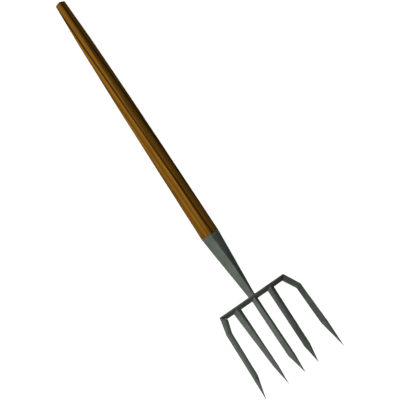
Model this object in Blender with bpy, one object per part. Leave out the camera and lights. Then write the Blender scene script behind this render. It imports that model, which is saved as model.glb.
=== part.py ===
"""Five-tine hay fork: an ash shaft, a folded steel socket and a head built up from separate forgings.

Metres, +Z up. The fork lies on its back with its points towards +X and the hollow of the head up.
Every piece is drawn along the tool: X runs from the butt of the shaft (0) to the points, and the axis
of the shaft is Y = 0, Z = 0. Left is +Y: the user's left when looking along the tool to the points.
The tool_axis empty then carries the whole fork to its resting place, centred over the origin.
"""

from math import cos, pi, radians, sin

import bmesh
import bpy
from mathutils import Matrix, Vector

GAP = 0.0003  # clearance between pieces that meet
CUT_PAST = 0.009  # how far a cutter runs on past the face that it opens

# Shaft: square in section, set on edge, with its arrises eased. (distance from butt, half diagonal)
SHAFT_STATIONS = ((0.0, 0.0159), (0.135, 0.0212), (0.350, 0.0252), (0.600, 0.0277), (0.825, 0.0294))
SHAFT_ROLL = radians(-10)  # the shaft is set a little askew to the head
ARRIS_RADIUS = 0.003
LEAST_ARRIS = 0.0008
ARRIS_STEPS = 3
FACE_CROWN = 0.035  # how far the faces of shaft and socket bulge, of the half diagonal
FACE_STEPS = 4
BUTT_CHAMFER = 0.002

# Socket: a tapered square tube that twists and rises from the mouth to the back of the crossbar
MOUTH = 0.825
NECK = 1.0407
NECK_HALF_DIAGONAL = 0.0125
NECK_ROLL = radians(22)
SOCKET_WALL = 0.0026
TWIST_STEPS = 24  # everything that twists has its sections at these steps from the mouth to the neck
NOSE_STEP = 17  # where the nose of the shaft ends inside the socket

# Tang of the centre tine, which runs back through the crossbar and the socket into the shaft
TANG_STEP = 7  # where its thin end lies
TANG_THIN = 0.0042  # half diagonals
TANG_THICK = 0.0056
TANG_ROOT = 0.0040
TANG_ARRIS = 0.0007

# Crossbar: upright back, sloping front, and a level underside
BAR_BACK = 1.041
BAR_DEPTH = 0.0162
BAR_HEIGHT = 0.0160
BAR_FOOT = 0.0020  # upright land along the foot of the slope
BAR_RIDGE = 0.0016  # level top of the ridge
BAR_BOTTOM = 0.0245  # above the axis of the shaft
BAR_AXIS = BAR_BOTTOM + 0.0062  # height of the tenons and of the socket's narrow end
TENON_ROOT = BAR_BACK + BAR_DEPTH + 0.004  # X inside the tines where their tang and tenons begin
CORNER_OUT = {"left": 0.1149, "right": 0.1155}  # half widths at the mitred ends, back and front
CORNER_IN = {"left": 0.1010, "right": 0.0970}
SIDES = {"left": 1, "right": -1}

# Tines: the underside follows one dished curve, and the outer two rise to their shoulders first
HEAD_REACH = 0.270
DISH = 0.0347
DISH_POWER = 1.3
SHOULDER_X = 1.091
SHOULDER_LIFT = 0.024
TIP_WIDTH = 0.0010
TIP_SECTION = (0.07, 1.0, 0.0, 0.5, 0.0)
ROOT_HEIGHT = 0.0135
ROOT_SIDE = 0.07
ROOT_ROUNDING = 0.16
CHAMFER = 0.07  # of the width, along the lower edges
RIDGE_STEPS = 5
CURVE_RINGS = 8
SETTLING = 0.5  # the lower, the sooner a tine's section leaves that of its root for its own
# Each is forged by hand, so no two are alike. Places are (X, Y, width) or (X, Y). A section is the height
# of the sides, the height of the ridge and its set to the left, as shares of the width, then the share of
# the slopes that is rounded over, and then how far the tine is turned over to the left
TINES = {
    "centre": {
        "root": (1.045, 0.0024, 0.0206),
        "knee": (1.241, 0.0004, 0.0211),
        "tip": (1.306, 0.0053),
        "section": (0.07, 0.31, 0.20, 0.16, radians(0)),
    },
    "inner_left": {
        "root": (1.045, 0.0603, 0.0239),
        "knee": (1.246, 0.0540, 0.0216),
        "tip": (1.304, 0.0542),
        "section": (0.21, 0.27, 0.00, 0.75, radians(15)),
    },
    "inner_right": {
        "root": (1.045, -0.0610, 0.0277),
        "knee": (1.243, -0.0558, 0.0143),
        "tip": (1.304, -0.0537),
        "section": (0.07, 0.31, 0.27, 0.18, radians(0)),
    },
    "outer_left": {
        "root": (SHOULDER_X, 0.1279, 0.0198),
        "knee": (1.214, 0.1298, 0.0213),
        "tip": (1.303, 0.1382),
        "section": (0.24, 0.28, -0.10, 0.85, radians(13)),
    },
    "outer_right": {
        "root": (SHOULDER_X, -0.1201, 0.0187),
        "knee": (1.227, -0.1252, 0.0178),
        "tip": (1.294, -0.1357),
        "section": (0.10, 0.36, 0.00, 0.75, radians(3)),
    },
}

MITRE_SECTION = {"left": (0.50, 0.62, -0.30, 0.75, 0.0), "right": (0.50, 0.72, 0.05, 0.50, 0.0)}

# Fastenings
TENON = 0.0060  # square tenons of the inner tines
TENON_PROUD = 0.0004  # behind the back of the bar, where they are hammered over
HEAD_CROWN = 0.6  # radius of the flat on a nail's head, as a share of the head's
NAIL_X = 0.852
NAIL_RADIUS = 0.0014
NAIL_HEAD_RADIUS = 0.0036
NAIL_HEAD_SEAT = 0.0006  # the head stands off the socket, because the face below it is twisted
NAIL_HEAD_TOP = 0.0020
NAIL_LENGTH = 0.018
PIN_X = 0.940
PIN_RADIUS = 0.0012
PIN_PROUD = 0.0003
PIN_LENGTH = 0.020
RIVET_RADIUS = 0.0020
RIVET_X = 0.0052  # in front of the back of the bar
RIVET_Z = 0.0050  # above its underside
RIVET_DEPTH = 0.014
RIVET_PROUD = 0.0006
ROUND_SEGMENTS = 20

ASH = ("aged_ash", (0.27, 0.13, 0.03), 0.62, 0.0)
FORGED_STEEL = ("forged_steel", (0.13, 0.15, 0.13), 0.55, 0.75)


def material(spec):
    """The named Principled material, made on first use."""
    name, colour, roughness, metallic = spec
    found = bpy.data.materials.get(name)
    if found:
        return found
    made = bpy.data.materials.new(name)
    made.use_nodes = True
    shader = made.node_tree.nodes["Principled BSDF"]
    shader.inputs["Base Color"].default_value = (*colour, 1.0)
    shader.inputs["Roughness"].default_value = roughness
    shader.inputs["Metallic"].default_value = metallic
    return made


def clear_scene():
    for obj in list(bpy.data.objects):
        bpy.data.objects.remove(obj, do_unlink=True)
    for found in list(bpy.data.materials):
        bpy.data.materials.remove(found)


def mesh_object(name, bm, spec):
    """A new object from bm, with its normals outwards and its round faces shaded smooth."""
    bmesh.ops.recalc_face_normals(bm, faces=bm.faces)
    mesh = bpy.data.meshes.new(name)
    bm.to_mesh(mesh)
    bm.free()
    mesh.shade_smooth()
    mesh.set_sharp_from_angle(angle=radians(28))
    mesh.materials.append(material(spec))
    obj = bpy.data.objects.new(name, mesh)
    bpy.context.scene.collection.objects.link(obj)
    return obj


def loft(name, rings, spec):
    """A closed solid skinned over rings of equal point counts, with a flat face on each end."""
    bm = bmesh.new()
    loops = [[bm.verts.new(point) for point in ring] for ring in rings]
    for near, far in zip(loops, loops[1:]):
        for i, start in enumerate(near):
            after = (i + 1) % len(near)
            bm.faces.new((start, near[after], far[after], far[i]))
    bm.faces.new(loops[0][::-1])
    bm.faces.new(loops[-1])
    return mesh_object(name, bm, spec)


def cylinder(name, start, end, radius, spec, end_radius=None):
    """A round bar from start to end, which tapers where end_radius is given."""
    bm = bmesh.new()
    along = end - start
    turn = along.to_track_quat("Z", "Y").to_matrix().to_4x4()
    bmesh.ops.create_cone(
        bm,
        cap_ends=True,
        segments=ROUND_SEGMENTS,
        radius1=radius,
        radius2=radius if end_radius is None else end_radius,
        depth=along.length,
        matrix=Matrix.Translation((start + end) / 2) @ turn,
    )
    return mesh_object(name, bm, spec)


def use_boolean(target, other, operation):
    """Cuts other from target, or joins it on, and keeps other out of the render as a wire helper."""
    change = target.modifiers.new(f"{operation.lower()}_{other.name}", "BOOLEAN")
    change.operation = operation
    change.solver = "EXACT"
    change.object = other
    other.hide_render = True
    other.display_type = "WIRE"


def mix(a, b, share):
    return a + (b - a) * share


def outward(angle):
    """Unit vector across the tool, at this angle from straight up towards the left."""
    return Vector((0, sin(angle), cos(angle)))


def square_ring(x, centre, half_diagonal, roll, arris, crown):
    """A square on edge in the plane at x, with eased arrises and crowned faces.

    half_diagonal reaches the eased corner, and crown is how far the middle of a face bulges.
    """
    middle = Vector((x, *centre))
    ring = []
    for corner in range(4):
        toward = roll + corner * pi / 2
        for step in range(ARRIS_STEPS + 1):
            angle = toward + (step / ARRIS_STEPS - 0.5) * pi / 2
            ring.append(middle + outward(toward) * (half_diagonal - arris) + outward(angle) * arris)
        face_start = ring[-1]
        next_corner = middle + outward(toward + pi / 2) * (half_diagonal - arris)
        face_end = next_corner + outward(toward + pi / 4) * arris
        for step in range(1, FACE_STEPS):
            share = step / FACE_STEPS
            bulge = outward(toward + pi / 4) * (crown * 4 * share * (1 - share))
            ring.append(face_start.lerp(face_end, share) + bulge)
    return ring


def socket_share(x):
    """0 at the mouth of the socket and 1 at its narrow end."""
    return (x - MOUTH) / (NECK - MOUTH)


def socket_centre(x):
    return 0.0, mix(0.0, BAR_AXIS, socket_share(x))


def socket_roll(x):
    return mix(SHAFT_ROLL, NECK_ROLL, socket_share(x))


def socket_half_diagonal(x):
    return mix(SHAFT_STATIONS[-1][1], NECK_HALF_DIAGONAL, socket_share(x))


def socket_flat(x):
    """Distance from the socket's middle to the edge of a face, measured squarely to the face."""
    return (socket_half_diagonal(x) - ARRIS_RADIUS) / 2**0.5 + ARRIS_RADIUS


def socket_crown(x):
    return socket_half_diagonal(x) * FACE_CROWN


def socket_ring(x, inset):
    """The socket's section, brought in by inset on every face."""
    arris = max(ARRIS_RADIUS - inset, LEAST_ARRIS)
    half = (socket_flat(x) - inset - arris) * 2**0.5 + arris
    return square_ring(x, socket_centre(x), half, socket_roll(x), arris, socket_crown(x))


def twist_stations(first, last):
    return [mix(MOUTH, NECK, step / TWIST_STEPS) for step in range(first, last + 1)]


def underside(x, lift=0.0):
    """Height of the underside of the tines at x. lift is how far an outer tine rises to its shoulder."""
    reached = max(x - BAR_BACK, 0.0) / HEAD_REACH
    risen = min(max(x - BAR_BACK, 0.0) / (SHOULDER_X - BAR_BACK), 1.0)
    return BAR_BOTTOM + DISH * reached**DISH_POWER + lift * risen


def build_shaft():
    butt_half = SHAFT_STATIONS[0][1] - BUTT_CHAMFER
    rings = [square_ring(0.0, (0, 0), butt_half, SHAFT_ROLL, LEAST_ARRIS, butt_half * FACE_CROWN)]
    for x, half in SHAFT_STATIONS:
        station = min(max(x, BUTT_CHAMFER), MOUTH - GAP)
        rings.append(square_ring(station, (0, 0), half, SHAFT_ROLL, ARRIS_RADIUS, half * FACE_CROWN))
    for x in [MOUTH - GAP] + twist_stations(1, NOSE_STEP):
        rings.append(socket_ring(x, SOCKET_WALL + GAP))
    shaft = loft("handle_shaft", rings, ASH)
    use_boolean(shaft, tang("bore_for_tang", GAP, TANG_STEP - 1, NOSE_STEP + 1), "DIFFERENCE")
    return shaft


def build_socket():
    solid = [socket_ring(x, 0.0) for x in twist_stations(0, TWIST_STEPS)]
    socket = loft("socket", solid, FORGED_STEEL)
    through = [socket_ring(x, SOCKET_WALL) for x in twist_stations(-1, TWIST_STEPS + 1)]
    use_boolean(socket, loft("socket_hollow", through, FORGED_STEEL), "DIFFERENCE")
    return socket


def tang(name, clearance, first, last, to_tine=False):
    """The square tang over some steps of the twist and on to the tine, or a cutter with clearance."""
    thin_end = twist_stations(TANG_STEP, TANG_STEP)[0]
    rings = []
    for x in twist_stations(first, last):
        half = mix(TANG_THIN, TANG_THICK, (x - thin_end) / (NECK - thin_end)) + clearance * 2**0.5
        rings.append(square_ring(x, socket_centre(x), half, socket_roll(x), TANG_ARRIS, 0.0))
    if to_tine:
        half = TANG_ROOT + clearance * 2**0.5
        centre = (TINES["centre"]["root"][1], BAR_AXIS)
        rings.append(square_ring(TENON_ROOT, centre, half, NECK_ROLL, TANG_ARRIS, 0.0))
    return loft(name, rings, FORGED_STEEL)


def bar_section(grow):
    """The crossbar's outline as (X, height above the underside), about grow larger on every side."""
    return (
        (BAR_BACK - grow, -grow),
        (BAR_BACK + BAR_DEPTH + grow, -grow),
        (BAR_BACK + BAR_DEPTH + grow, BAR_FOOT + grow / 2),
        (BAR_BACK + BAR_RIDGE + grow, BAR_HEIGHT + grow / 2),
        (BAR_BACK + BAR_RIDGE, BAR_HEIGHT + grow),
        (BAR_BACK - grow, BAR_HEIGHT + grow),
    )


def mitre_y(side, x):
    """Half width of the crossbar at x on the given side, along the mitred end."""
    return mix(CORNER_OUT[side], CORNER_IN[side], (x - BAR_BACK) / BAR_DEPTH)


def build_crossbar():
    rings = []
    for side in ("right", "left"):
        ring = []
        for x, z in bar_section(0):
            ring.append(Vector((x, SIDES[side] * (mitre_y(side, x) - GAP), BAR_BOTTOM + z)))
        rings.append(ring)
    bar = loft("crossbar", rings, FORGED_STEEL)
    use_boolean(bar, tang("hole_for_tang", GAP, TWIST_STEPS - 1, TWIST_STEPS, True), "DIFFERENCE")
    for side in SIDES:
        use_boolean(bar, tenon(f"hole_for_tenon_{side}", f"inner_{side}", GAP), "DIFFERENCE")
        use_boolean(bar, rivet_shank(f"rivet_hole_in_bar_{side}", side, GAP), "DIFFERENCE")
    return bar


def tine_ring(x, y, width, section, across=Vector((0, 1, 0)), lift=0.0):
    """The section of a tine: flat underside, narrow sides and a ridge, turned over by its own angle."""
    side, height, lean, ease, turn = section
    left, right, apex = (Vector(place) * width for place in ((0.5, side), (-0.5, side), (lean, height)))
    inset = Vector((0.5 - CHAMFER, 0)) * width
    outline = [-inset, inset, left]
    for step in range(RIDGE_STEPS + 1):
        share = step / RIDGE_STEPS
        from_left = mix(mix(apex, left, ease), apex, share)
        to_right = mix(apex, mix(apex, right, ease), share)
        outline.append(mix(from_left, to_right, share))
    outline.append(right)
    base = Vector((x, y, underside(x, lift)))
    turned = [Matrix.Rotation(-turn, 2) @ point for point in outline]
    return [base + across * a + Vector((0, 0, b)) for a, b in turned]


def straight_rings(tine, root_section, first, lift):
    """Rings from the root, or the first after it, down to the knee and then the tip."""
    root_x, root_y, root_width = tine["root"]
    knee_x, knee_y, knee_width = tine["knee"]
    tip_x, tip_y = tine["tip"]
    rings = []
    for i in range(first, CURVE_RINGS):
        share = i / (CURVE_RINGS - 1)
        section = [mix(a, b, share**SETTLING) for a, b in zip(root_section, tine["section"])]
        place = mix(Vector((root_x, root_y)), Vector((knee_x, knee_y)), share)
        rings.append(tine_ring(*place, mix(root_width, knee_width, share), section, lift=lift))
    rings.append(tine_ring(tip_x, tip_y, TIP_WIDTH, TIP_SECTION, lift=lift))
    return rings


def straight_tine(key):
    """An inner or centre tine, which grows from a tall, crisp root at the crossbar."""
    root_section = (ROOT_SIDE, ROOT_HEIGHT / TINES[key]["root"][2], 0.0, ROOT_ROUNDING, 0.0)
    tine = loft(f"tine_{key}", straight_rings(TINES[key], root_section, 0, 0.0), FORGED_STEEL)
    use_boolean(tine, bar_clearance(f"cope_{key}"), "DIFFERENCE")
    return tine


def bar_clearance(name):
    """The crossbar's outline with a gap all round, which copes the root of a tine to fit it."""
    rings = []
    for y in (-CORNER_IN["right"], CORNER_IN["left"]):
        rings.append([Vector((x, y, BAR_BOTTOM + z)) for x, z in bar_section(GAP)])
    return loft(name, rings, FORGED_STEEL)


def tenon(name, key, clearance):
    """The square tenon of an inner tine, or the hole for it where clearance is more than 0."""
    y = TINES[key]["root"][1]
    half = TENON / 2 + clearance
    rings = []
    for x in (BAR_BACK - (CUT_PAST if clearance else TENON_PROUD), TENON_ROOT):
        corners = ((-half, -half), (half, -half), (half, half), (-half, half))
        rings.append([Vector((x, y + a, BAR_AXIS + b)) for a, b in corners])
    return loft(name, rings, FORGED_STEEL)


def build_centre_tine():
    """The centre tine, whose tang runs back through the crossbar and the socket."""
    tine = straight_tine("centre")
    use_boolean(tine, tang("tang_of_centre_tine", 0.0, TANG_STEP, TWIST_STEPS, True), "UNION")
    use_boolean(tine, pin_shank("pin_hole_in_tang", GAP), "DIFFERENCE")
    return tine


def build_inner_tine(side):
    key = f"inner_{side}"
    tine = straight_tine(key)
    use_boolean(tine, tenon(f"tenon_{key}", key, 0.0), "UNION")
    return tine


def mitre_ring(side):
    """The section of an outer tine along the mitre at the end of the crossbar."""
    outer = Vector((BAR_BACK, SIDES[side] * CORNER_OUT[side], 0))
    inner = Vector((BAR_BACK + BAR_DEPTH, SIDES[side] * CORNER_IN[side], 0))
    along = (outer - inner) * SIDES[side]
    middle = (outer + inner) / 2 + Vector((0, SIDES[side] * GAP, 0))
    level = tine_ring(BAR_BACK, 0, along.length, MITRE_SECTION[side])
    return [middle + along.normalized() * point.y + Vector((0, 0, point.z)) for point in level]


def build_outer_tine(side):
    """An outer tine: mitred to the end of the crossbar, cranked out to its shoulder, then straight."""
    key = f"outer_{side}"
    tine = TINES[key]
    root = mitre_ring(side)
    corner = sum(root, Vector()) / len(root)
    crank = (Vector(tine["root"][:2]) - corner.xy).normalized()
    bisector = (crank + Vector((1, 0))).normalized()
    across = Vector((-bisector.y / bisector.x, 1, 0))
    bend = tine_ring(*tine["root"], tine["section"], across, SHOULDER_LIFT)
    rest = straight_rings(tine, tine["section"], 1, SHOULDER_LIFT)
    made = loft(f"tine_{key}", [root, bend] + rest, FORGED_STEEL)
    use_boolean(made, rivet_shank(f"rivet_hole_in_tine_{side}", side, GAP), "DIFFERENCE")
    return made


def rivet_shank(name, side, clearance):
    """The corner rivet through an outer tine into the crossbar, or its hole where clearance is given."""
    sign = SIDES[side]
    x = BAR_BACK + RIVET_X
    outside = CORNER_OUT[side] + (CUT_PAST if clearance else RIVET_PROUD)
    inside = mitre_y(side, x) - RIVET_DEPTH - clearance
    start = Vector((x, sign * outside, BAR_BOTTOM + RIVET_Z))
    end = Vector((x, sign * inside, BAR_BOTTOM + RIVET_Z))
    return cylinder(name, start, end, RIVET_RADIUS + clearance, FORGED_STEEL)


def on_socket_face(x, quarter, out):
    """A point over the middle of a face of the socket, out from its surface.

    Quarter 1 is the lower left face, and 2 the lower right.
    """
    squarely = outward(socket_roll(x) + (quarter + 0.5) * pi / 2)
    return Vector((x, *socket_centre(x))) + squarely * (socket_flat(x) + socket_crown(x) + out)


def build_socket_nail(side, quarter):
    """A round-headed nail through one underside face of the socket into the shaft."""
    name = f"socket_nail_{side}"
    seat = on_socket_face(NAIL_X, quarter, NAIL_HEAD_SEAT)
    crown = on_socket_face(NAIL_X, quarter, NAIL_HEAD_TOP)
    point = on_socket_face(NAIL_X, quarter, -NAIL_LENGTH)
    nail = cylinder(name, seat, crown, NAIL_HEAD_RADIUS, FORGED_STEEL, NAIL_HEAD_RADIUS * HEAD_CROWN)
    inside_head = seat.lerp(crown, 0.5)
    shank = cylinder(f"{name}_shank", inside_head, point, NAIL_RADIUS, FORGED_STEEL, NAIL_RADIUS / 2)
    use_boolean(nail, shank, "UNION")
    for target in (bpy.data.objects["socket"], bpy.data.objects["handle_shaft"]):
        hole = cylinder(
            f"{name}_hole_in_{target.name}",
            on_socket_face(NAIL_X, quarter, CUT_PAST),
            on_socket_face(NAIL_X, quarter, -NAIL_LENGTH - GAP),
            NAIL_RADIUS + GAP,
            FORGED_STEEL,
        )
        use_boolean(target, hole, "DIFFERENCE")
    return nail


def pin_shank(name, clearance):
    """The pin across the tang, from the lower left face of the socket, or its hole."""
    start = on_socket_face(PIN_X, 1, CUT_PAST if clearance else PIN_PROUD)
    end = on_socket_face(PIN_X, 1, -PIN_LENGTH - clearance)
    return cylinder(name, start, end, PIN_RADIUS + clearance, FORGED_STEEL)


def build_tang_pin():
    pin = pin_shank("tang_pin", 0.0)
    for target in (bpy.data.objects["socket"], bpy.data.objects["handle_shaft"]):
        use_boolean(target, pin_shank(f"pin_hole_in_{target.name}", GAP), "DIFFERENCE")
    return pin


def stand_on_origin(pieces):
    """Hangs the pieces on the tool_axis empty, and moves it so that their box stands on the origin."""
    tool_axis = bpy.data.objects.new("tool_axis", None)
    bpy.context.scene.collection.objects.link(tool_axis)
    bpy.context.view_layer.update()
    graph = bpy.context.evaluated_depsgraph_get()
    corners = [Vector(corner) for piece in pieces for corner in piece.evaluated_get(graph).bound_box]
    low = Vector([min(corner[i] for corner in corners) for i in range(3)])
    high = Vector([max(corner[i] for corner in corners) for i in range(3)])
    for obj in bpy.data.objects:
        if obj is not tool_axis:
            obj.parent = tool_axis
    tool_axis.location = (-(low.x + high.x) / 2, -(low.y + high.y) / 2, -low.z)


def main():
    clear_scene()
    pieces = [build_shaft(), build_socket(), build_crossbar(), build_centre_tine()]
    for side in SIDES:
        pieces.append(build_inner_tine(side))
        pieces.append(build_outer_tine(side))
        pieces.append(rivet_shank(f"corner_rivet_{side}", side, 0.0))
    pieces.append(build_socket_nail("left", 1))
    pieces.append(build_socket_nail("right", 2))
    pieces.append(build_tang_pin())
    stand_on_origin(pieces)


main()
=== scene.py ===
"""Looks of the hay fork: aged ash and forged steel in a white studio, seen as in the photograph."""

from math import radians

import bmesh
import bpy
from mathutils import Matrix, Vector, noise
from mathutils.bvhtree import BVHTree


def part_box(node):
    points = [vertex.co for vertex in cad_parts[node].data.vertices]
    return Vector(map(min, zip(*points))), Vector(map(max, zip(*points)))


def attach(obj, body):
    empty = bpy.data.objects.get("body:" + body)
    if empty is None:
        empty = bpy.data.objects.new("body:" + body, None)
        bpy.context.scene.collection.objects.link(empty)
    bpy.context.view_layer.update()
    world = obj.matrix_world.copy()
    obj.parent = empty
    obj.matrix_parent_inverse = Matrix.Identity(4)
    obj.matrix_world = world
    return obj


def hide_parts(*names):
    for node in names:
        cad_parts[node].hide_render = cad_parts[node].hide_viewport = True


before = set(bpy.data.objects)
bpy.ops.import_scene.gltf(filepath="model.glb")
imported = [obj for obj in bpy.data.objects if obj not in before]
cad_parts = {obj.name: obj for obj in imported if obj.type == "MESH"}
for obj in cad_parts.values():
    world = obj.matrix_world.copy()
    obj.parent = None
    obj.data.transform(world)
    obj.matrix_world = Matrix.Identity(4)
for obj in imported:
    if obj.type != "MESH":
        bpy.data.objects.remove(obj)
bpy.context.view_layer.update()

# Camera: where it stands and how it looks in the row frame, in metres
CAMERA_PLACE = Vector((0.0904, -0.3356, 1.8932))
CAMERA_FORWARD = Vector((-0.01105, 0.19220, -0.98129))
CAMERA_UP = Vector((-0.83869, 0.53259, 0.11376))
CAMERA_LENS = 57.09  # mm
CAMERA_SENSOR = 36.0  # mm

# Studio: floor and dome glow by themselves, and the key light and the air light the fork
FLOOR_DROP = 0.0005
STUDIO_RADIUS = 30.0
FLOOR_GLOW = 0.985
FLOOR_TINT = 0.12  # how much light the floor throws back, little enough that shadows on it stay faint
DOME_GLOW = 1.1
KEY_FROM = Vector((-0.28, -0.50, 0.56))
KEY_DISTANCE = 4.0
KEY_SIZE = 1.6
KEY_POWER = 150.0
AMBIENT = 0.17

# Finer pieces: how each CAD node is worked over. cuts are the lengths in X, Y and Z between the planes that
# divide its faces, sharp the least angle, in degrees, of an edge that is rounded, easing the width of the
# rounding, point the length at its +X end where the edges stay crisp, hollows how deep its faces wander
# inwards, and waves how often they do so per metre
MERGE = 0.000002
FLAT_ANGLE = radians(0.05)  # faces that lie this flat to each other are joined before they are divided
SMOOTH_ANGLE = radians(58)  # edges up to this angle are shaded smooth
LEAST_EDGE = 0.0015  # shorter edges, such as those round a hole, stay crisp
JOINT_REACH = 0.003  # the nearer a face is to another piece, from this distance on, the less it is hollowed
CUT_SNAP = 0.00001
EASING_STEPS = 2
FINISHES = {
    "wood": {"cuts": (0.012, 0.006, 0.006), "sharp": 24, "easing": 0.0004, "point": 0.0,
             "hollows": 0.00035, "waves": (14, 60, 60)},
    "socket": {"cuts": (0.006, 0.004, 0.004), "sharp": 24, "easing": 0.0004, "point": 0.0,
               "hollows": 0.0004, "waves": (45, 70, 70)},
    "crossbar": {"cuts": (0.004, 0.005, 0.004), "sharp": 24, "easing": 0.0005, "point": 0.0,
                 "hollows": 0.0004, "waves": (60, 60, 60)},
    "tine": {"cuts": (0.005, 0.004, 0.004), "sharp": 65, "easing": 0.0005, "point": 0.015,
             "hollows": 0.0004, "waves": (45, 70, 70)},
    "fastening": {"cuts": (0.002, 0.002, 0.002), "sharp": 24, "easing": 0.0003, "point": 0.0,
                  "hollows": 0.0001, "waves": (300, 300, 300)},
}


def add_object(name, data):
    obj = bpy.data.objects.new(name, data)
    bpy.context.scene.collection.objects.link(obj)
    return obj


def turned(forward, up):
    """Rotation that looks along forward, with up as near to the top of the picture as it gets."""
    back = -forward.normalized()
    right = up.cross(back).normalized()
    return Matrix((right, back.cross(right), back)).transposed().to_4x4()


def add_camera():
    lens = bpy.data.cameras.new("camera")
    lens.lens = CAMERA_LENS
    lens.sensor_width = CAMERA_SENSOR
    camera = add_object("camera", lens)
    camera.matrix_world = Matrix.Translation(CAMERA_PLACE) @ turned(CAMERA_FORWARD, CAMERA_UP)
    bpy.context.scene.camera = camera


def cut_along(bm, axis, low, high, spacing):
    """Divides the faces of bm by evenly spaced planes across one axis."""
    normal = Vector([float(i == axis) for i in range(3)])
    for step in range(1, int((high - low) / spacing) + 1):
        bmesh.ops.bisect_plane(
            bm,
            geom=bm.verts[:] + bm.edges[:] + bm.faces[:],
            dist=CUT_SNAP,
            plane_co=normal * (low + step * spacing),
            plane_no=normal,
        )


def keep_to_surface(bm, surface, reach):
    """Draws back to the CAD surface any point that lies outside it, or deeper inside it than reach."""
    for vert in bm.verts:
        nearest, normal, _, distance = surface.find_nearest(vert.co)
        if distance > reach or (vert.co - nearest).dot(normal) > CUT_SNAP:
            vert.co = nearest


def other_surfaces(name):
    """The CAD surfaces of every node but one, to measure how near a neighbour is."""
    bm = bmesh.new()
    for other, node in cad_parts.items():
        if other != name:
            bm.from_mesh(node.data)
    surfaces = BVHTree.FromBMesh(bm)
    bm.free()
    return surfaces


def worked_mesh(name, finish):
    """The mesh of a CAD node with eased edges, and with faces a little hollow from hand work."""
    bm = bmesh.new()
    bm.from_mesh(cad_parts[name].data)
    bmesh.ops.remove_doubles(bm, verts=bm.verts, dist=MERGE)
    bmesh.ops.dissolve_limit(bm, angle_limit=FLAT_ANGLE, verts=bm.verts, edges=bm.edges)
    least_angle = radians(finish["sharp"])
    for edge in bm.edges:
        edge.smooth = edge.calc_face_angle(0.0) < least_angle or edge.calc_length() < LEAST_EDGE
    surface = BVHTree.FromBMesh(bm)
    low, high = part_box(name)
    cut_along(bm, 0, low[0], high[0], finish["cuts"][0])
    end = high.x - finish["point"]
    sharp = [e for e in bm.edges if not e.smooth and max(vert.co.x for vert in e.verts) <= end + CUT_SNAP]
    bmesh.ops.bevel(bm, geom=sharp, offset=finish["easing"], offset_type="OFFSET", segments=EASING_STEPS,
                    profile=0.5, affect="EDGES", clamp_overlap=False)
    for axis in (1, 2):
        cut_along(bm, axis, low[axis], high[axis], finish["cuts"][axis])
    keep_to_surface(bm, surface, finish["easing"])
    bm.normal_update()
    waves = Vector(finish["waves"])
    neighbours = other_surfaces(name)
    for vert in bm.verts:
        share = min(max(noise.noise(vert.co * waves) / 2 + 0.5, 0.0), 1.0)
        share *= min(neighbours.find_nearest(vert.co)[3] / JOINT_REACH, 1.0)
        vert.co -= vert.normal * (finish["hollows"] * share)
    keep_to_surface(bm, surface, finish["easing"] + finish["hollows"])
    mesh = bpy.data.meshes.new(f"{name}_worked")
    bm.to_mesh(mesh)
    bm.free()
    mesh.shade_smooth()
    mesh.set_sharp_from_angle(angle=SMOOTH_ANGLE)
    return mesh


def add_worked_piece(name, finish, looks):
    """Shows a CAD node by a finer piece of its own shape."""
    mesh = worked_mesh(name, finish)
    mesh.materials.append(looks)
    piece = add_object(mesh.name, mesh)
    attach(piece, "root")
    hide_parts(name)


class Nodes:
    """A short way to write a node material."""

    def __init__(self, name):
        self.material = bpy.data.materials.new(name)
        self.material.use_nodes = True
        self.tree = self.material.node_tree
        self.shader = self.tree.nodes["Principled BSDF"]

    def add(self, kind, inputs=(), **settings):
        """Adds a node. inputs are (socket, value) pairs, where a value may be another node's output."""
        node = self.tree.nodes.new(kind)
        for key, value in settings.items():
            setattr(node, key, value)
        for socket, value in inputs:
            self.set(node.inputs[socket], value)
        return node

    def set(self, socket, value):
        if isinstance(value, bpy.types.NodeSocket):
            self.tree.links.new(value, socket)
        else:
            socket.default_value = value

    def math(self, operation, *values):
        return self.add("ShaderNodeMath", enumerate(values), operation=operation).outputs[0]

    def bell(self, squared):
        """1 in the middle of a place, falling away to nothing; squared is (distance / reach) squared."""
        return self.math("EXPONENT", self.math("MULTIPLY", squared, -1.0))

    def noise(self, vector, scale, detail=3.0, roughness=0.5):
        inputs = (("Vector", vector), ("Scale", scale), ("Detail", detail), ("Roughness", roughness))
        return self.add("ShaderNodeTexNoise", inputs).outputs["Fac"]

    def stretched(self, vector, scale):
        """The vector with each axis multiplied by its own number."""
        inputs = (("Vector", vector), ("Scale", scale))
        return self.add("ShaderNodeMapping", inputs, vector_type="POINT").outputs[0]

    def ramp(self, factor, stops):
        """Colour ramp over (place, colour) stops, where a colour may be one number."""
        node = self.add("ShaderNodeValToRGB", (("Fac", factor),))
        ramp = node.color_ramp
        while len(ramp.elements) < len(stops):
            ramp.elements.new(1.0)
        for element, (place, colour) in zip(ramp.elements, stops):
            element.position = place
            element.color = (colour, colour, colour, 1) if isinstance(colour, float) else (*colour, 1)
        return node.outputs["Color"]

    def blend(self, kind, factor, a, b):
        inputs = (("Factor", factor), (6, a), (7, b))
        return self.add("ShaderNodeMix", inputs, data_type="RGBA", blend_type=kind).outputs[2]

    def bumps(self, *layers):
        """Normal of a surface with one relief over another, each given as (height, depth)."""
        normal = None
        for height, depth in layers:
            node = self.add("ShaderNodeBump", (("Height", height), ("Distance", depth)))
            if normal is not None:
                self.set(node.inputs["Normal"], normal)
            normal = node.outputs[0]
        return normal


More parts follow.
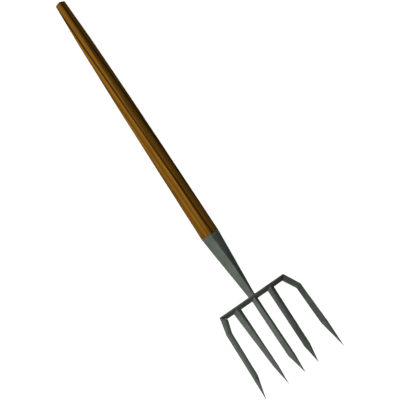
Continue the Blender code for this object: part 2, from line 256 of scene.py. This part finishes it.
# Ash: growth layers cross the shaft at a slight slant, and one broad band among them darkens its +Y side.
# Each is (place across the shaft, half width, darkening), in millimetres at GRAIN_MIDDLE along the shaft; a
# negative darkening is a paler layer
SHAFT_LOW, SHAFT_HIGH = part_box("handle_shaft")
GRAIN_SLANT = 0.0325
GRAIN_LEAN = 0.18  # the layers lean this much over their height
GRAIN_MIDDLE = 0.531
GRAIN_WANDER = 0.005
GRAIN_LAYERS_AND_BAND = (
    (-47.0, 2.5, 0.60),
    (-40.0, 2.0, 0.30),
    (-33.0, 2.2, 0.34),
    (-28.5, 2.2, 0.25),
    (-23.4, 2.4, -0.10),
    (-17.6, 2.2, 0.42),
    (-13.5, 1.3, 0.14),
    (-8.7, 2.2, -0.22),
    (-2.8, 2.3, 0.92),
    (3.5, 4.0, -0.08),
    (12.5, 1.6, 0.14),
    # not a growth layer: a broad darker band over the +Y side of the shaft
    (16.0, 13.0, 0.22),
    (18.5, 2.6, 0.84),
    (26.0, 3.0, 0.35),
    (34.0, 3.0, 0.30),
    (42.0, 2.5, 0.55),
)
# Colour of the wood from its darkest layers to its palest
ASH_SHADES = (
    (0.00, (0.008, 0.0043, 0.0009)),
    (0.25, (0.058, 0.0265, 0.0028)),
    (0.50, (0.130, 0.0580, 0.0058)),
    (0.75, (0.205, 0.0895, 0.0084)),
    (1.00, (0.290, 0.1250, 0.0112)),
)
ASH_MIDDLE_SHADE = 0.84
# Unevenness, in waves per metre along X, Y and Z
WANDER_WAVES = (3.0, 14.0, 14.0)
FIBRE_WAVES = (5.0, 420.0, 420.0)
PORE_WAVES = (28.0, 1800.0, 1800.0)
STAIN_WAVES = (9.0, 40.0, 40.0)
FLECK_WAVES = (11.0, 330.0, 330.0)
DENT_WAVES = (30.0, 75.0, 75.0)
FIBRE_CONTRAST = 1.0
STAIN_CONTRAST = 0.30
PORE_TONES = ((0.30, 0.55), (0.42, 1.0))
FLECK_TONES = ((0.60, 1.0), (0.68, 0.70))
GRIP_TONES = ((0.0, 0.90), (0.6, 1.0))  # the shaft is darker towards the butt, over metres from it
ASH_ROUGHNESS = 0.5
ASH_ROUGHNESS_SWING = 0.25
ASH_GLOSS = 0.03
DENT_DEPTH = 0.0005
FIBRE_DEPTH = 0.0004
PORE_DEPTH = 0.0002


def across_the_grain(n, place, split):
    """Where a point lies across the growth layers, in metres."""
    wander = n.noise(n.stretched(place, WANDER_WAVES), 1.0, 2.0)
    wander = n.math("MULTIPLY", n.math("SUBTRACT", wander, 0.5), GRAIN_WANDER)
    along = n.math("MULTIPLY_ADD", split[0], -GRAIN_SLANT, (GRAIN_MIDDLE + SHAFT_LOW.x) * GRAIN_SLANT)
    lean = n.math("MULTIPLY_ADD", split[2], GRAIN_LEAN, -GRAIN_LEAN * (SHAFT_LOW.z + SHAFT_HIGH.z) / 2)
    return n.math("ADD", n.math("ADD", n.math("ADD", split[1], along), wander), lean)


def layer_tone(n, across):
    """How pale the growth layers, and the broad darker band over the +Y side, leave the wood."""
    tone = ASH_MIDDLE_SHADE
    for layer, half_width, darkening in GRAIN_LAYERS_AND_BAND:
        off = n.math("DIVIDE", n.math("SUBTRACT", across, layer / 1000), half_width / 1000)
        bell = n.bell(n.math("MULTIPLY", off, off))
        tone = n.math("MULTIPLY", tone, n.math("MULTIPLY_ADD", bell, -darkening, 1.0))
    return tone


def ash_material():
    n = Nodes("ash_looks")
    place = n.add("ShaderNodeTexCoord").outputs["Object"]
    split = n.add("ShaderNodeSeparateXYZ", ((0, place),)).outputs
    fibres = n.noise(n.stretched(place, FIBRE_WAVES), 1.0, 4.0, 0.6)
    pores = n.noise(n.stretched(place, PORE_WAVES), 1.0, 2.0)
    stains = n.noise(n.stretched(place, STAIN_WAVES), 1.0)
    flecks = n.noise(n.stretched(place, FLECK_WAVES), 1.0, 1.0)
    dents = n.noise(n.stretched(place, DENT_WAVES), 1.0, 2.0)
    tone = layer_tone(n, across_the_grain(n, place, split))
    for share in (
        n.math("MULTIPLY_ADD", n.math("SUBTRACT", fibres, 0.5), FIBRE_CONTRAST, 1.0),
        n.math("MULTIPLY_ADD", n.math("SUBTRACT", stains, 0.5), STAIN_CONTRAST, 1.0),
        n.ramp(pores, PORE_TONES),
        n.ramp(flecks, FLECK_TONES),
        n.ramp(n.math("SUBTRACT", split[0], SHAFT_LOW.x), GRIP_TONES),
    ):
        tone = n.math("MULTIPLY", tone, share)
    n.set(n.shader.inputs["Base Color"], n.ramp(tone, ASH_SHADES))
    roughness = n.math("MULTIPLY_ADD", fibres, ASH_ROUGHNESS_SWING, ASH_ROUGHNESS)
    n.set(n.shader.inputs["Roughness"], roughness)
    n.set(n.shader.inputs["Specular IOR Level"], ASH_GLOSS)
    n.set(n.shader.inputs["Normal"], n.bumps((dents, DENT_DEPTH), (fibres, FIBRE_DEPTH), (pores, PORE_DEPTH)))
    return n.material


# Steel: colour of its thin scale from the darkest blotches to the palest, and of its rust
STEEL_SHADES = (
    (0.25, (0.096, 0.114, 0.095)),
    (0.50, (0.118, 0.139, 0.116)),
    (0.75, (0.140, 0.162, 0.138)),
)
RUST = (0.100, 0.078, 0.056)
RUST_SHARES = ((0.60, 0.0), (0.74, 0.55))
# Unevenness, in waves per metre along X, Y and Z or in all directions
BLOTCH_WAVES = (28.0, 55.0, 55.0)
RUST_WAVES = (70.0, 110.0, 110.0)
DRAW_WAVES = (35.0, 900.0, 900.0)
SPECKLE_WAVES = 420.0
PIT_WAVES = 700.0
HAMMER_WAVES = 90.0
SPECKLE_TONES = ((0.30, 0.84), (0.6, 1.04))
DRAW_TONES = ((0.25, 0.90), (0.75, 1.10))
PIT_TONES = ((0.26, 0.55), (0.36, 1.0))
RIDGE_TONES = ((0.50, 1.0), (0.62, 1.25))  # ridges are worn a little paler
STEEL_METALLIC = 0.1
STEEL_GLOSS = 0.15
STEEL_ROUGHNESS = 0.45
STEEL_ROUGHNESS_SWING = 0.3
HAMMER_DEPTH = 0.0004
DRAW_DEPTH = 0.00006
SPECKLE_DEPTH = 0.00008
PIT_DEPTH = 0.00012
# Darker patches of painted shade. They stand in for slopes, turned away from the light, that the shape here
# lacks.
# They are guesses: they bring the brightness of the steel closer to the real tool's. Each has the node it is
# near, how far ahead of and beside that node's middle its own middle lies, how far it reaches, and how much
# it darkens.
PAINTED_SHADE_PATCHES = (
    ("corner_rivet_left", (0.016, 0.013), (0.040, 0.040), 0.58),
    ("corner_rivet_right", (0.012, -0.012), (0.030, 0.030), 0.20),
    ("tine_inner_left", (-0.020, 0.000), (0.150, 0.018), 0.26),
)


def painted_shade(n, split):
    """How much of its brightness the steel keeps under the patches of painted shade."""
    tone = 1.0
    for node, offset, reach, darkening in PAINTED_SHADE_PATCHES:
        low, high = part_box(node)
        middle = (low + high) / 2
        off_x = n.math("DIVIDE", n.math("SUBTRACT", split[0], middle.x + offset[0]), reach[0])
        off_y = n.math("DIVIDE", n.math("SUBTRACT", split[1], middle.y + offset[1]), reach[1])
        away = n.math("ADD", n.math("MULTIPLY", off_x, off_x), n.math("MULTIPLY", off_y, off_y))
        tone = n.math("MULTIPLY", n.math("MULTIPLY_ADD", n.bell(away), -darkening, 1.0), tone)
    return tone


def steel_material():
    n = Nodes("steel_looks")
    place = n.add("ShaderNodeTexCoord").outputs["Object"]
    split = n.add("ShaderNodeSeparateXYZ", ((0, place),)).outputs
    blotches = n.noise(n.stretched(place, BLOTCH_WAVES), 1.0, 4.0, 0.55)
    rust = n.noise(n.stretched(place, RUST_WAVES), 1.0, 5.0, 0.65)
    draws = n.noise(n.stretched(place, DRAW_WAVES), 1.0, 3.0, 0.6)
    speckle = n.noise(place, SPECKLE_WAVES, 3.0, 0.6)
    pits = n.noise(place, PIT_WAVES, 2.0)
    hammer = n.noise(place, HAMMER_WAVES, 2.0, 0.4)
    ridges = n.add("ShaderNodeNewGeometry").outputs["Pointiness"]
    colour = n.blend("MIX", n.ramp(rust, RUST_SHARES), n.ramp(blotches, STEEL_SHADES), (*RUST, 1))
    for share in (
        n.ramp(speckle, SPECKLE_TONES),
        n.ramp(draws, DRAW_TONES),
        n.ramp(pits, PIT_TONES),
        n.ramp(ridges, RIDGE_TONES),
        # patches of painted shade, standing in for slopes turned away from the light
        painted_shade(n, split),
    ):
        colour = n.blend("MULTIPLY", 1.0, colour, share)
    n.set(n.shader.inputs["Base Color"], colour)
    n.set(n.shader.inputs["Metallic"], STEEL_METALLIC)
    n.set(n.shader.inputs["Specular IOR Level"], STEEL_GLOSS)
    roughness = n.math("MULTIPLY_ADD", blotches, STEEL_ROUGHNESS_SWING, STEEL_ROUGHNESS)
    n.set(n.shader.inputs["Roughness"], roughness)
    relief = ((hammer, HAMMER_DEPTH), (draws, DRAW_DEPTH), (speckle, SPECKLE_DEPTH), (pits, PIT_DEPTH))
    n.set(n.shader.inputs["Normal"], n.bumps(*relief))
    return n.material


def glowing_white(name, tint, glow):
    made = bpy.data.materials.new(name)
    made.use_nodes = True
    shader = made.node_tree.nodes["Principled BSDF"]
    shader.inputs["Base Color"].default_value = (tint, tint, tint, 1.0)
    shader.inputs["Specular IOR Level"].default_value = 0.0
    shader.inputs["Emission Color"].default_value = (1.0, 1.0, 1.0, 1.0)
    shader.inputs["Emission Strength"].default_value = glow
    return made


def add_studio():
    """A white floor and dome that only the camera sees, so that they cast no light on the fork."""
    bpy.ops.mesh.primitive_circle_add(radius=STUDIO_RADIUS, fill_type="NGON", location=(0, 0, -FLOOR_DROP))
    floor = bpy.context.object
    floor.name = "floor"
    bpy.ops.mesh.primitive_uv_sphere_add(radius=STUDIO_RADIUS, location=(0, 0, -FLOOR_DROP))
    dome = bpy.context.object
    dome.name = "backdrop"
    for obj, tint, glow in ((floor, FLOOR_TINT, FLOOR_GLOW), (dome, 0.0, DOME_GLOW)):
        obj.data.materials.append(glowing_white(f"{obj.name}_white", tint, glow))
        obj.visible_diffuse = False
        obj.visible_glossy = False
        obj.visible_shadow = False


def add_lights():
    world = bpy.data.worlds.new("studio_air")
    world.use_nodes = True
    world.node_tree.nodes["Background"].inputs["Color"].default_value = (1.0, 1.0, 1.0, 1.0)
    world.node_tree.nodes["Background"].inputs["Strength"].default_value = AMBIENT
    bpy.context.scene.world = world
    bpy.context.scene.view_settings.view_transform = "Standard"
    lamp = bpy.data.lights.new("key", "AREA")
    lamp.size = KEY_SIZE
    lamp.energy = KEY_POWER
    light = add_object("key", lamp)
    toward = KEY_FROM.normalized()
    light.matrix_world = Matrix.Translation(toward * KEY_DISTANCE) @ turned(-toward, Vector((0, 0, 1)))
    light.visible_camera = False


ash = ash_material()
steel = steel_material()
for name in sorted(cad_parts):
    if name == "handle_shaft":
        add_worked_piece(name, FINISHES["wood"], ash)
    elif name in ("socket", "crossbar"):
        add_worked_piece(name, FINISHES[name], steel)
    elif name.startswith("tine"):
        add_worked_piece(name, FINISHES["tine"], steel)
    else:
        add_worked_piece(name, FINISHES["fastening"], steel)
add_camera()
add_studio()
add_lights()
